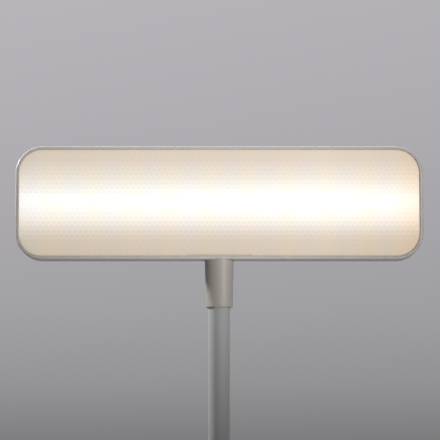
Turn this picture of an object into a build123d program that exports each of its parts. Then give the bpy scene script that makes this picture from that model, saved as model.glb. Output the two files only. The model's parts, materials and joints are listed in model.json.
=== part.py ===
from build123d import *
import math
import os

# Clip-on reading lamp: a wide light panel on a flexible neck, which rises from a spring clip.
# Millimetres. +Z is up, the panel faces -Y, and the origin is the centre of the clip's underside.

# ---------------------------------------------------------------- driving dimensions: head
head_width = 208.4
head_height = 58.2
head_depth = 15.0
head_corner = 13.8          # corner radius of the panel's outline
shell_wall = 2.0
front_round = 1.3           # rounding of the frame's outer front edge
back_round = 4.0            # rounding of the rear casing's back edge
bezel_depth = 4.2
bezel_wall = 1.3
rim = 1.95                  # frame seen around the diffuser
lip_thickness = 1.2
lip_chamfer = 0.45
sill_width = 33.6           # raised strip on the frame's lower lip, above the neck
sill_rise = 0.45
diffuser_thickness = 2.0
tongue_thickness = 1.2
led_pitch = 10.0
led_pairs = 10              # cool and warm light sources, one of each to a pair
led_size = (3.5, 2.8, 0.8)
led_board_height = 8.0
led_board_thickness = 1.2
tray_wall = 1.0
tray_side_gap = 0.95        # from the casing's inside to the tray's mouth, at each end
tray_edge_gap = 3.6         # the same, above and below
tray_narrowing = (3.0, 7.0) # how much narrower and lower the tray is at its back
spreader_thickness = 1.0
lead_room = 1.5             # behind the plate, for the leads
lead_diameter = 1.0
lead_slot = (5.0, 3.0)

# ---------------------------------------------------------------- driving dimensions: neck
neck_length = 300.0         # the stretch that bends
neck_joints = 18
bend_limit = 12.0           # degrees at each joint of the core
sleeve_diameter = 11.0
sleeve_wall = 1.2
core_diameter = 8.0
core_bore = 3.2
cup_wall = 0.3
ball_clearance = 0.1
wire_diameter = 2.2
straight_end = 4.0          # sleeve seen between a collar and the stretch that bends
sleeve_seat = 8.0           # depth of the sleeve inside a collar
ferrule_seat = 9.0          # depth of the core's end beyond the sleeve's
collar_length = 24.4
collar_top_radius = 7.37
collar_bottom_radius = 6.85
collar_edge = 0.8
tenon_radius = 3.9
tenon_length = 5.0
base_collar_height = 14.0
base_collar_foot_radius = 8.6
base_collar_top_radius = 7.0
base_tenon_radius = 5.0

# ---------------------------------------------------------------- driving dimensions: clip
clip_width = 54.0
clip_length = 108.0
casing_rise = 32.0          # top of the upper casing above the plane where the jaws part
nose_rise = 17.0
seam_rise = 14.5            # seam between the casing's cover and its chassis
tail_rise = 20.0            # underside of the upper tail
seam_groove = 0.5           # width of the shadow line along a seam
neck_y = 10.0
hinge_y = 14.0
pin_radius = 2.0
lug_radius = 7.5
lug_width = 5.0
lug_gap = 0.4
relief = 8.0                # from the pin's axis to the casings above and below it
jaw_face_gap = 2.0          # from the parting plane to each jaw's hard face
pad_gap = 0.15              # from the parting plane to each pad
pad_seat = 1.0              # depth of a pad inside its jaw
pad_inset = 2.0             # pad's edge inside the jaw's side
rail_radius = 9.0           # round rail that the closed jaws hold
rail_y = -20.0
rail_relief = 0.6           # extra radius of the hard groove outside the pads
casing_wall = 2.2
casing_round = 4.0
tail_thickness = 7.0
rail_floor = 1.55           # wall under the lower pad's groove
foot_drop = 0.8             # foot pad below the jaw's rim
foot_thickness = 1.2
jaw_cover_thickness = 1.8
spring_wire_radius = 0.8
spring_radius = 5.0
spring_pitch = 1.9
spring_turns = 6
button_radius = 6.0
button_x = 9.5
button_y = -16.0
button_travel = 0.6
button_rise = 0.9
button_flange = 1.2         # how far the flange under the cover is wider than the cap
button_dish = 24.0          # radius of the key's dished top
dome_height = 1.7
light_radius = 1.0
light_gap = 8.0             # from the keys to the charge light
board_thickness = 1.6
board_side_gap = 5.0
board_end_gap = 1.8
nose_length = 16.0          # from the nose to the front of the board
board_headroom = 6.3        # from the cover's inside to the board's underside
battery_width = 36.0
battery_length = 34.0
battery_gap = 1.45          # from the rail's bulkhead up to the cell
port_width = 8.94
port_height = 3.16
port_wall = 0.3
port_length = 7.3
nut_half_width = 6.5
nut_height = 3.5
washer_radius = 7.5
washer_thickness = 0.9

# ---------------------------------------------------------------- driving dimensions: screws
tray_screw = 0.8            # radius of the thread, for each kind of screw
cover_screw = 0.9
board_screw = 0.7
jaw_screw = 0.8
screw_head = 2.0
screw_head_height = 1.2
board_screw_head = 1.6
board_screw_head_height = 1.1
screw_clearance = 0.2       # extra radius of a hole that a screw passes through
tray_boss = 2.6
cover_boss = 3.0
board_boss = 2.0
jaw_boss = 2.8
front_screw_x = 19.0
front_screw_inset = 10.0    # from the nose to the front cover screws
back_screw_x = 9.5
back_screw_gap = 7.0        # from the hinge to the back cover screws
board_screw_x = 20.0
jaw_screw_x = 17.0
jaw_screw_inset = 11.0

# ---------------------------------------------------------------- clearances
slip = 0.05                 # running clearance on a radius
fit = 0.1                   # assembly clearance on a side

# ---------------------------------------------------------------- worked-out places
pitch = neck_length / neck_joints
pad_outer = rail_radius + jaw_face_gap - pad_gap + pad_seat
bulkhead = pad_outer + casing_wall
jaw_bottom = foot_drop
jaw_cover_top = jaw_bottom + jaw_cover_thickness
hinge_z = jaw_cover_top + rail_floor + pad_outer
base_top = hinge_z + casing_rise
nose_height = hinge_z + nose_rise
cover_seam = hinge_z + seam_rise
tail_underside = hinge_z + tail_rise
base_collar_top = base_top + base_collar_height
flex_bottom = base_collar_top + straight_end
flex_top = flex_bottom + neck_length
collar_bottom = flex_top + straight_end
head_bottom = collar_bottom + collar_length
head_middle_z = head_bottom + head_height / 2
pivots = [flex_bottom + pitch * (joint + 0.5) for joint in range(neck_joints)]
ball_radius = core_diameter / 2 - cup_wall - ball_clearance
shoulder = core_diameter / 2 * math.sin(math.radians(bend_limit)) + 0.37

head_mid = Plane(origin=(0, neck_y, head_middle_z), x_dir=(1, 0, 0), z_dir=(0, -1, 0))
front = head_depth / 2
seam = front - bezel_depth
lip_back = front - lip_thickness
diffuser_back = lip_back - diffuser_thickness
window_width = head_width - 2 * rim
window_height = head_height - 2 * rim
floor_inside = -front + shell_wall
tray_back = floor_inside + lead_room + spreader_thickness
tray_floor = tray_back + tray_wall
spreader_back = tray_back - spreader_thickness
strip_front = tray_floor + led_board_thickness
tray_mouth_width = head_width - 2 * shell_wall - 2 * tray_side_gap
tray_mouth_height = head_height - 2 * shell_wall - 2 * tray_edge_gap
tray_back_width = tray_mouth_width - tray_narrowing[0]
tray_back_height = tray_mouth_height - tray_narrowing[1]
tray_screw_y = tray_back_height / 2 - 3.0
tray_screw_x = tray_back_width / 2 - 15.0
lead_slot_y = -led_board_height / 2 + 1.0

half_width = clip_width / 2
half_length = clip_length / 2
upper_face = hinge_z + jaw_face_gap
lower_face = hinge_z - jaw_face_gap
upper_relief = hinge_z + relief
lower_relief = hinge_z - relief
hinge_front = hinge_y - 10.0
hinge_back = hinge_y + 11.0
slope_start = hinge_y + 4.0
tail_slope = (tail_underside - upper_relief) / (half_length - slope_start)
inner_lug = 15.0
outer_lug = inner_lug + lug_width + lug_gap
pad_front = -half_length + 3.0
pad_back = hinge_front - 3.0
control_front = -half_length + nose_length
control_back = half_length - casing_wall - board_end_gap
board_bottom = base_top - casing_wall - board_headroom
board_top = board_bottom + board_thickness
inside_top = base_top - casing_wall
parts = {}


def keep(name, builder):
    """Labels a finished piece and remembers it for writing."""
    builder.part.label = name
    parts[name] = builder.part


# ================================================================ head
# The outside of the whole panel, which the collar's top is fitted to.
with BuildPart() as head_envelope:
    with BuildSketch(head_mid.offset(-front)):
        RectangleRounded(head_width, head_height, head_corner)
    extrude(amount=head_depth)
    fillet(head_envelope.faces().sort_by(Axis.Y)[0].edges(), front_round)
    fillet(head_envelope.faces().sort_by(Axis.Y)[-1].edges(), back_round)

# Front frame: a ring with a rounded outer edge, and a lip that the diffuser seats behind.
with BuildPart() as head_bezel:
    with BuildSketch(head_mid.offset(seam)):
        RectangleRounded(head_width, head_height, head_corner)
    extrude(amount=bezel_depth)
    fillet(head_bezel.faces().sort_by(Axis.Y)[0].edges(), front_round)
    with BuildSketch(head_mid.offset(seam)):
        RectangleRounded(window_width, window_height, head_corner - rim)
    extrude(amount=bezel_depth, mode=Mode.SUBTRACT)
    chamfer(head_bezel.faces().sort_by(Axis.Y)[0].inner_wires()[0].edges(), lip_chamfer)
    with BuildSketch(head_mid.offset(seam)):
        RectangleRounded(
            head_width - 2 * bezel_wall, head_height - 2 * bezel_wall, head_corner - bezel_wall
        )
    extrude(amount=bezel_depth - lip_thickness, mode=Mode.SUBTRACT)
    with BuildSketch(head_mid.offset(lip_back)):
        with Locations((0, -window_height / 2)):
            Rectangle(sill_width, 2 * sill_rise)
    extrude(amount=lip_thickness - lip_chamfer / 2)
    with BuildSketch(Plane.XY.offset(head_bottom - 1)):
        with Locations((0, neck_y)):
            Circle(tenon_radius + slip)
    extrude(amount=bezel_wall + 2, mode=Mode.SUBTRACT)
    head_seam_edges = head_bezel.faces().filter_by(Axis.Y).sort_by(Axis.Y)[-1].outer_wire().edges()
    chamfer(head_seam_edges, seam_groove / 2)
keep("head_bezel", head_bezel)

# Diffuser: a clear prismatic sheet, held between the frame's lip and the casing's tongue.
diffuser_side = bezel_wall + fit + 0.05
with BuildPart() as diffuser:
    with BuildSketch(head_mid.offset(diffuser_back)):
        RectangleRounded(
            head_width - 2 * diffuser_side, head_height - 2 * diffuser_side, head_corner - diffuser_side
        )
    extrude(amount=diffuser_thickness)
keep("diffuser", diffuser)

# Rear casing: a tray with a rounded back, a tongue inside the frame, and bosses for the screws.
boss_columns = [tray_screw_x * share for share in (-1, -1 / 3, 1 / 3, 1)]
boss_places = [(x, y) for x in boss_columns for y in (-tray_screw_y, tray_screw_y)]
with BuildPart() as head_back_shell:
    with BuildSketch(head_mid.offset(-front)):
        RectangleRounded(head_width, head_height, head_corner)
    extrude(amount=head_depth - bezel_depth)
    fillet(head_back_shell.faces().sort_by(Axis.Y)[-1].edges(), back_round)
    with BuildSketch(head_mid.offset(floor_inside)):
        RectangleRounded(
            head_width - 2 * shell_wall, head_height - 2 * shell_wall, head_corner - shell_wall
        )
    extrude(amount=head_depth, mode=Mode.SUBTRACT)
    inner_floor = head_back_shell.faces().filter_by(Axis.Y).sort_by(Axis.Y)[-2]
    fillet(inner_floor.edges(), back_round - shell_wall)
    tongue_side = bezel_wall + fit
    with BuildSketch(head_mid.offset(seam - 1.5)):
        RectangleRounded(
            head_width - 2 * tongue_side, head_height - 2 * tongue_side, head_corner - tongue_side
        )
        inner = tongue_side + tongue_thickness
        RectangleRounded(
            head_width - 2 * inner, head_height - 2 * inner, head_corner - inner, mode=Mode.SUBTRACT
        )
    extrude(amount=diffuser_back - fit / 2 - (seam - 1.5))
    with BuildSketch(head_mid.offset(floor_inside - 0.5)):
        with Locations(*boss_places):
            Circle(tray_boss)
    extrude(amount=spreader_back - floor_inside + 0.5)
    with BuildSketch(head_mid.offset(floor_inside)):
        with Locations(*boss_places):
            Circle(tray_screw + slip)
    extrude(amount=spreader_back - floor_inside, mode=Mode.SUBTRACT)
    with BuildSketch(Plane.XY.offset(head_bottom - 1)):
        with Locations((0, neck_y)):
            Circle(tenon_radius + slip)
    extrude(amount=1 + tongue_side + tongue_thickness + 1, mode=Mode.SUBTRACT)
    with BuildSketch(Plane.XY.offset(head_bottom + shell_wall)):
        with Locations((0, neck_y)):
            Circle(tenon_radius + 1.6)
    extrude(amount=tongue_thickness, mode=Mode.SUBTRACT)
keep("head_back_shell", head_back_shell)

# Reflector: a white tray that opens towards the diffuser.
with BuildPart() as reflector_tray:
    with BuildSketch(head_mid.offset(tray_back)):
        RectangleRounded(tray_back_width, tray_back_height, 6)
    with BuildSketch(head_mid.offset(diffuser_back - fit)):
        RectangleRounded(tray_mouth_width, tray_mouth_height, 9)
    loft()
    with BuildSketch(head_mid.offset(tray_floor)):
        RectangleRounded(tray_back_width - 2 * tray_wall, tray_back_height - 2 * tray_wall, 5)
    with BuildSketch(head_mid.offset(diffuser_back - fit)):
        RectangleRounded(tray_mouth_width - 2 * tray_wall, tray_mouth_height - 2 * tray_wall, 8)
    loft(mode=Mode.SUBTRACT)
    with BuildSketch(head_mid.offset(tray_back)):
        with Locations(*boss_places):
            Circle(tray_screw + screw_clearance)
        with Locations((0, lead_slot_y)):
            Rectangle(*lead_slot)
    extrude(amount=tray_wall, mode=Mode.SUBTRACT)
keep("reflector_tray", reflector_tray)

# Aluminium plate behind the reflector, which spreads the light sources' heat.
with BuildPart() as heat_spreader:
    with BuildSketch(head_mid.offset(spreader_back)):
        RectangleRounded(tray_back_width - 4, tray_back_height - 1, 4)
        with Locations(*boss_places):
            Circle(tray_screw + screw_clearance, mode=Mode.SUBTRACT)
        with Locations((0, lead_slot_y)):
            Rectangle(*lead_slot, mode=Mode.SUBTRACT)
    extrude(amount=spreader_thickness)
keep("heat_spreader", heat_spreader)

# Strip of light sources along the middle of the reflector.
with BuildPart() as led_board:
    with BuildSketch(head_mid.offset(tray_floor)):
        RectangleRounded(led_pitch * (2 * led_pairs - 1) + 7, led_board_height, 1)
    extrude(amount=led_board_thickness)
keep("led_board", led_board)


def light_sources(first_x):
    """One colour of light source, at every second place along the strip from first_x."""
    with BuildPart() as sources:
        with BuildSketch(head_mid.offset(strip_front)):
            with Locations(*[(first_x + 2 * led_pitch * pair, 0) for pair in range(led_pairs)]):
                Rectangle(led_size[0], led_size[1])
        extrude(amount=led_size[2])
    return sources


strip_start = -led_pitch * (2 * led_pairs - 1) / 2
keep("leds_cool", light_sources(strip_start))
keep("leds_warm", light_sources(strip_start + led_pitch))

# Eight pan-head screws hold the reflector and the plate to the rear casing.
with BuildPart() as head_screws:
    with BuildSketch(head_mid.offset(floor_inside + 0.1)):
        with Locations(*boss_places):
            Circle(tray_screw)
    extrude(amount=tray_floor - floor_inside - 0.1)
    with BuildSketch(head_mid.offset(tray_floor)):
        with Locations(*boss_places):
            Circle(screw_head)
    extrude(amount=screw_head_height)
keep("head_screws", head_screws)

# Two leads from the top of the neck, behind the plate, to the strip.
lead_start = head_bottom + tenon_length - 0.5
lead_back_y = neck_y - (floor_inside + spreader_back) / 2
lead_foot = head_middle_z - tray_back_height / 2 - 0.6
lead_top = head_middle_z + lead_slot_y
with BuildPart() as head_leads:
    for lead_x in (-0.9, 0.9):
        with BuildLine() as lead_path:
            FilletPolyline(
                (lead_x, neck_y, lead_start),
                (lead_x, neck_y, lead_start + 1.5),
                (lead_x, lead_back_y, lead_foot),
                (lead_x, lead_back_y, lead_top),
                (lead_x, neck_y - tray_floor, lead_top),
                radius=(1.2, 1.2, 0.8),
            )
        with BuildSketch(Plane(origin=(lead_x, neck_y, lead_start), z_dir=(0, 0, 1))):
            Circle(lead_diameter / 2)
        sweep(path=lead_path.line)
keep("head_leads", head_leads)

# Collar under the panel: a slightly tapered sleeve whose top is cut to the panel's lower edge.
ferrule_bore_top = collar_bottom + sleeve_seat + ferrule_seat
with BuildPart() as neck_collar:
    with BuildSketch(Plane.XZ.offset(-neck_y)):
        with BuildLine():
            Polyline(
                (0, collar_bottom),
                (collar_bottom_radius, collar_bottom),
                (collar_top_radius, head_bottom),
                (collar_top_radius, head_bottom + back_round),
                (0, head_bottom + back_round),
                close=True,
            )
        make_face()
    revolve(axis=Axis((0, neck_y, 0), (0, 0, 1)))
    fillet(neck_collar.faces().sort_by(Axis.Z)[0].edges(), collar_edge)
    add(head_envelope.part, mode=Mode.SUBTRACT)
    with BuildSketch(Plane.XY.offset(head_bottom - 1)):
        with Locations((0, neck_y)):
            Circle(tenon_radius)
    extrude(amount=tenon_length + 1)
    with BuildSketch(Plane.XY.offset(collar_bottom)):
        with Locations((0, neck_y)):
            Circle(sleeve_diameter / 2 + 3 * fit)
    extrude(amount=sleeve_seat, mode=Mode.SUBTRACT)
    with BuildSketch(Plane.XY.offset(collar_bottom)):
        with Locations((0, neck_y)):
            Circle(core_diameter / 2 + slip)
    extrude(amount=sleeve_seat + ferrule_seat, mode=Mode.SUBTRACT)
    with BuildSketch(Plane.XY.offset(collar_bottom)):
        with Locations((0, neck_y)):
            Circle(wire_diameter / 2 + 0.5)
    extrude(amount=collar_length + tenon_length, mode=Mode.SUBTRACT)
    with BuildSketch(Plane.XY.offset(head_bottom + shell_wall + slip)):
        with Locations((0, neck_y)):
            Circle(tenon_radius + 1)
            Circle(tenon_radius - 0.6, mode=Mode.SUBTRACT)
    extrude(amount=0.9, mode=Mode.SUBTRACT)
    with BuildSketch(Plane.XZ.offset(-neck_y)):
        with Locations((0, collar_bottom + sleeve_seat + ferrule_seat / 2)):
            Circle(1.6)
    extrude(amount=-collar_top_radius, mode=Mode.SUBTRACT)
keep("neck_collar", neck_collar)

# Open ring in the collar's groove, which keeps the collar in the panel. Its gap faces the front.
with BuildPart() as collar_clip:
    with BuildSketch(Plane.XY.offset(head_bottom + shell_wall + 2 * slip)):
        with Locations((0, neck_y)):
            Circle(tenon_radius + 1.3)
            Circle(tenon_radius - 0.55, mode=Mode.SUBTRACT)
        with Locations((0, neck_y - tenon_radius - 1)):
            Rectangle(2 * tenon_radius - 0.6, 2 * tenon_radius - 0.8, mode=Mode.SUBTRACT)
    extrude(amount=0.8)
keep("collar_clip", collar_clip)

# Grub screw in the collar's back, which bears on the core's end.
with BuildPart() as collar_grub_screw:
    with BuildSketch(Plane.XZ.offset(-neck_y - core_diameter / 2 - slip)):
        with Locations((0, collar_bottom + sleeve_seat + ferrule_seat / 2)):
            Circle(1.5)
    extrude(amount=-2.4)
    with BuildSketch(Plane.XZ.offset(-neck_y - core_diameter / 2 - slip - 1.2)):
        with Locations((0, collar_bottom + sleeve_seat + ferrule_seat / 2)):
            RegularPolygon(0.75, 6, major_radius=False)
    extrude(amount=-1.2, mode=Mode.SUBTRACT)
keep("collar_grub_screw", collar_grub_screw)


# ================================================================ neck
def core_stretch(bottom, top, cup_below, ball_above):
    """A stretch of the steel core: a cup round the ball below, and a ball in the cup above."""
    body_top = top - shoulder if ball_above else top
    with BuildPart() as stretch:
        with BuildSketch(Plane.XY.offset(bottom)):
            with Locations((0, neck_y)):
                Circle(core_diameter / 2)
        extrude(amount=body_top - bottom)
        if ball_above:
            with Locations((0, neck_y, top)):
                Sphere(ball_radius)
        if cup_below:
            with Locations((0, neck_y, bottom)):
                Sphere(ball_radius + ball_clearance, mode=Mode.SUBTRACT)
        with BuildSketch(Plane.XY.offset(bottom)):
            with Locations((0, neck_y)):
                Circle(core_bore / 2)
        extrude(amount=top + ball_radius - bottom, mode=Mode.SUBTRACT)
    return stretch


ferrule_bottom = inside_top - 8.0
keep("core_lower_end", core_stretch(ferrule_bottom, pivots[0], False, True))
for link in range(1, neck_joints):
    keep(f"core_link_{link:02d}", core_stretch(pivots[link - 1], pivots[link], True, True))
keep("core_upper_end", core_stretch(pivots[-1], ferrule_bore_top - fit, True, False))

# Silicone sleeve over the whole core, seated in both collars.
sleeve_bottom = base_collar_top - sleeve_seat
sleeve_top = collar_bottom + sleeve_seat
with BuildPart() as neck_sleeve:
    with BuildSketch(Plane.XY.offset(sleeve_bottom)):
        with Locations((0, neck_y)):
            Circle(sleeve_diameter / 2)
            Circle(sleeve_diameter / 2 - sleeve_wall, mode=Mode.SUBTRACT)
    extrude(amount=sleeve_top - sleeve_bottom)
keep("neck_sleeve", neck_sleeve)

# Two-core wire inside the core, from the control board's plug to the panel's leads.
plug_y = neck_y + 20.0
wire_turn_z = ferrule_bottom - 5.0
wire_top = lead_start
with BuildPart() as neck_wire:
    with BuildLine() as wire_path:
        FilletPolyline(
            (0, plug_y, board_bottom - 2.0),
            (0, plug_y - 6, board_bottom - 2.0),
            (0, neck_y + 4, wire_turn_z + 0.5),
            (0, neck_y, wire_turn_z + 4.0),
            (0, neck_y, wire_top),
            radius=(2.4, 2.4, 2.4),
        )
    with BuildSketch(Plane(origin=wire_path.line @ 0, z_dir=wire_path.line % 0)):
        Circle(wire_diameter / 2)
    sweep(path=wire_path.line)
keep("neck_wire", neck_wire)

# ================================================================ clip: upper casing
with BuildSketch(Plane.YZ) as casing_profile:
    with BuildLine():
        Polyline(
            (-half_length, nose_height),
            (-half_length, upper_face),
            (hinge_front, upper_face),
            (hinge_front, upper_relief),
            (slope_start, upper_relief),
            (half_length, tail_underside),
            (half_length, base_top),
            (-half_length + 26, base_top),
        )
        TangentArc((-half_length + 26, base_top), (-half_length, nose_height), tangent=(-1, 0))
    make_face()

with BuildSketch(Plane.YZ) as casing_cavity:
    add(casing_profile.sketch_local)
    offset(amount=-casing_wall, kind=Kind.INTERSECTION, mode=Mode.REPLACE)
    with Locations((rail_y, hinge_z)):
        Circle(bulkhead, mode=Mode.SUBTRACT)

# Screws that join the cover and the chassis, at (x, y, underside of the head).
front_screw_y = -half_length + front_screw_inset
back_screw_y = hinge_y + back_screw_gap
front_screws = [(-front_screw_x, front_screw_y), (front_screw_x, front_screw_y)]
back_screws = [(-back_screw_x, back_screw_y), (back_screw_x, back_screw_y)]
board_screws_at = [
    (x, y)
    for x in (-board_screw_x, board_screw_x)
    for y in (control_front + battery_length, control_back - nose_length)
]
front_head_z = upper_face + pad_seat
back_head_z = upper_relief + tail_slope * (back_screw_y + 2.2 - slope_start) + 0.3

# The whole casing in one solid, split below into its cover and its chassis.
with BuildPart() as casing:
    add(extrude(casing_profile.sketch, amount=half_width, both=True, mode=Mode.PRIVATE))
    top_edges = casing.edges().filter_by(lambda e: e.center().Z > nose_height + 0.5)
    side_edges = top_edges.filter_by(lambda e: abs(abs(e.center().X) - half_width) < 0.01)
    fillet(side_edges.filter_by(lambda e: e.center().Y < half_length - 0.5), casing_round)
    tail_top = casing.edges().filter_by(Axis.X).filter_by(
        lambda e: e.center().Y > half_length - 1 and e.center().Z > base_top - 1
    )
    fillet(tail_top, casing_round - 1.2)
    nose = casing.edges().filter_by(Axis.X).filter_by(
        lambda e: e.center().Y < -half_length + 1 and e.center().Z > upper_face + 1
    )
    fillet(nose, casing_round)
    add(
        extrude(casing_cavity.sketch, amount=half_width - casing_wall, both=True, mode=Mode.PRIVATE),
        mode=Mode.SUBTRACT,
    )

# Ring that cuts half of the shadow line along the seam between cover and chassis.
with BuildSketch(Plane.XY.offset(cover_seam)) as seam_ring:
    Rectangle(clip_width + 2, clip_length + 2)
    RectangleRounded(
        clip_width - 2 * seam_groove, clip_length - 2 * seam_groove, casing_round - seam_groove,
        mode=Mode.SUBTRACT,
    )

with BuildPart() as base_cover:
    add(casing.part)
    with BuildSketch(Plane.XY.offset(cover_seam)):
        with Locations(*front_screws, *back_screws):
            Circle(cover_boss)
    extrude(amount=base_top - cover_seam - casing_wall)
    with BuildSketch(Plane.XY.offset(board_top)):
        with Locations(*board_screws_at):
            Circle(board_boss)
    extrude(amount=inside_top - board_top + 0.3)
    add(
        extrude(casing_profile.sketch, amount=half_width, both=True, mode=Mode.PRIVATE),
        mode=Mode.INTERSECT,
    )
    split(bisect_by=Plane.XY.offset(cover_seam), keep=Keep.TOP)
    extrude(seam_ring.sketch, amount=seam_groove / 2, mode=Mode.SUBTRACT)
    with BuildSketch(Plane.XY.offset(cover_seam)):
        with Locations(*front_screws, *back_screws):
            Circle(cover_screw + slip)
    extrude(amount=8, mode=Mode.SUBTRACT)
    with BuildSketch(Plane.XY.offset(board_top)):
        with Locations(*board_screws_at):
            Circle(board_screw + slip)
    extrude(amount=3.5, mode=Mode.SUBTRACT)
    with BuildSketch(Plane.XY.offset(inside_top - 0.5)):
        with Locations((-button_x, button_y), (button_x, button_y)):
            Circle(button_radius + 1.5 * fit)
        with Locations((0, neck_y)):
            Circle(base_tenon_radius + slip)
        with Locations((0, button_y - light_gap)):
            Circle(light_radius + slip)
    extrude(amount=casing_wall + 1, mode=Mode.SUBTRACT)
    with BuildSketch(Plane.XZ.offset(-half_length + casing_wall + 1)):
        with Locations((0, board_top + 1.6)):
            SlotOverall(port_width + 2 * fit, port_height + 2 * fit)
    extrude(amount=-casing_wall - 2, mode=Mode.SUBTRACT)
keep("base_cover", base_cover)

with BuildPart() as base_chassis:
    add(casing.part)
    split(bisect_by=Plane.XY.offset(cover_seam), keep=Keep.BOTTOM)
    extrude(seam_ring.sketch, amount=-seam_groove / 2, mode=Mode.SUBTRACT)
    with BuildSketch(Plane.XY.offset(upper_face + casing_wall / 2)):
        with Locations(*front_screws):
            Circle(cover_boss)
    extrude(amount=cover_seam - upper_face - casing_wall / 2)
    with BuildSketch(Plane.XY.offset(back_head_z)):
        with Locations(*back_screws):
            Circle(cover_boss)
    extrude(amount=cover_seam - back_head_z)
    # Two round lugs carry the hinge pin.
    for side in (-1, 1):
        with BuildSketch(Plane.YZ.offset(side * (inner_lug + lug_width / 2))):
            with Locations((hinge_y, hinge_z)):
                Circle(lug_radius)
            with Locations((hinge_y, hinge_z + relief / 2 + 0.5)):
                Rectangle(2 * lug_radius, relief + 1)
        extrude(amount=lug_width / 2, both=True)
    with BuildSketch(Plane.YZ):
        with Locations((hinge_y, hinge_z)):
            Circle(pin_radius)
    extrude(amount=half_width, both=True, mode=Mode.SUBTRACT)
    # Seat of the silicone pad, and the hard groove beside it.
    with BuildSketch(Plane.YZ):
        with Locations(((pad_front + pad_back) / 2, upper_face)):
            Rectangle(pad_back - pad_front, 2 * pad_seat)
        with Locations((rail_y, hinge_z)):
            Circle(pad_outer)
    extrude(amount=half_width - pad_inset, both=True, mode=Mode.SUBTRACT)
    with BuildSketch(Plane.YZ):
        with Locations((rail_y, hinge_z)):
            Circle(rail_radius + rail_relief)
    extrude(amount=half_width, both=True, mode=Mode.SUBTRACT)
    with BuildSketch(Plane.XY.offset(upper_face)):
        with Locations(*front_screws, *back_screws):
            Circle(cover_screw + screw_clearance)
    extrude(amount=cover_seam - upper_face, mode=Mode.SUBTRACT)
    with BuildSketch(Plane.XY.offset(upper_relief)):
        with Locations(*back_screws):
            Circle(screw_head + fit)
    extrude(amount=back_head_z + 1.3 - upper_relief, mode=Mode.SUBTRACT)
    with BuildSketch(Plane.XY.offset(upper_face)):
        with Locations(*front_screws):
            Circle(screw_head + fit)
    extrude(amount=pad_seat + 1.3, mode=Mode.SUBTRACT)
keep("base_chassis", base_chassis)


# Pan-head screws run up through the chassis into the cover's bosses.
with BuildPart() as cover_screws:
    for places, head_z in ((front_screws, front_head_z + 0.1), (back_screws, back_head_z + 0.1)):
        with BuildSketch(Plane.XY.offset(head_z)):
            with Locations(*places):
                Circle(screw_head)
        extrude(amount=screw_head_height)
        with BuildSketch(Plane.XY.offset(head_z)):
            with Locations(*places):
                Circle(cover_screw)
        extrude(amount=cover_seam + 6 - head_z)
keep("cover_screws", cover_screws)


def jaw_pad(side):
    """Silicone pad on a jaw's face, with a half-round groove. side is 1 above and -1 below."""
    face = hinge_z + side * pad_gap
    back = hinge_z + side * (jaw_face_gap + pad_seat)
    with BuildPart() as pad:
        with BuildSketch(Plane.YZ):
            with Locations(((pad_front + pad_back) / 2, (face + back) / 2)):
                Rectangle(pad_back - pad_front, abs(back - face))
            with Locations((rail_y, hinge_z)):
                Circle(pad_outer)
            with Locations((rail_y, face - side * pad_outer)):
                Rectangle(2 * pad_outer + 1, 2 * pad_outer, mode=Mode.SUBTRACT)
            with Locations((rail_y, hinge_z)):
                Circle(rail_radius, mode=Mode.SUBTRACT)
            # Shallow grip grooves across the flat stretches.
            with Locations(*[(y, face) for y in grip_grooves]):
                Rectangle(1.2, 1.2, mode=Mode.SUBTRACT)
        extrude(amount=half_width - pad_inset, both=True)
    return pad


front_flat = (pad_front, rail_y - pad_outer)
back_flat = (rail_y + pad_outer, pad_back)
grip_grooves = [
    flat[0] + 1.5 + groove * 3.0
    for flat in (front_flat, back_flat)
    for groove in range(int((flat[1] - flat[0] - 1.5) / 3.0) + 1)
]
keep("upper_pad", jaw_pad(1))
keep("lower_pad", jaw_pad(-1))

# ================================================================ clip: electronics
with BuildPart() as control_board:
    with BuildSketch(Plane.XY.offset(board_bottom)):
        with Locations((0, (control_front + control_back) / 2)):
            RectangleRounded(clip_width - 2 * board_side_gap, control_back - control_front, 2)
        with Locations((0, neck_y)):
            Circle(8.4, mode=Mode.SUBTRACT)
        with Locations(*back_screws):
            Circle(3.4, mode=Mode.SUBTRACT)
        with Locations(*board_screws_at):
            Circle(board_screw + screw_clearance, mode=Mode.SUBTRACT)
    extrude(amount=board_thickness)
    # The plug that the neck's wire goes into, under the board.
    with BuildSketch(Plane.XY.offset(board_bottom - 3.6)):
        with Locations((0, plug_y + 3)):
            Rectangle(7, 6)
    extrude(amount=3.6)
keep("control_board", control_board)

with BuildPart() as board_screws:
    with BuildSketch(Plane.XY.offset(board_bottom - board_screw_head_height)):
        with Locations(*board_screws_at):
            Circle(board_screw_head)
    extrude(amount=board_screw_head_height)
    with BuildSketch(Plane.XY.offset(board_bottom - board_screw_head_height)):
        with Locations(*board_screws_at):
            Circle(board_screw)
    extrude(amount=board_screw_head_height + board_thickness + 3.2)
keep("board_screws", board_screws)

# The cell is bonded to the board's underside.
cell_bottom = hinge_z + bulkhead + battery_gap
with BuildPart() as battery:
    with BuildSketch(Plane.XY.offset(cell_bottom)):
        with Locations((0, control_front + battery_length / 2)):
            RectangleRounded(battery_width, battery_length, 2)
    extrude(amount=board_bottom - cell_bottom)
    fillet(battery.edges().filter_by(Axis.X), 1.2)
keep("battery", battery)

with BuildPart() as dome_switches:
    with BuildSketch(Plane.XY.offset(board_top)):
        with Locations((-button_x, button_y), (button_x, button_y)):
            RectangleRounded(6, 6, 0.5)
    extrude(amount=dome_height - 0.5)
    with BuildSketch(Plane.XY.offset(board_top + dome_height - 0.5)):
        with Locations((-button_x, button_y), (button_x, button_y)):
            Circle(1.8)
    extrude(amount=0.5)
keep("dome_switches", dome_switches)


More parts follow.
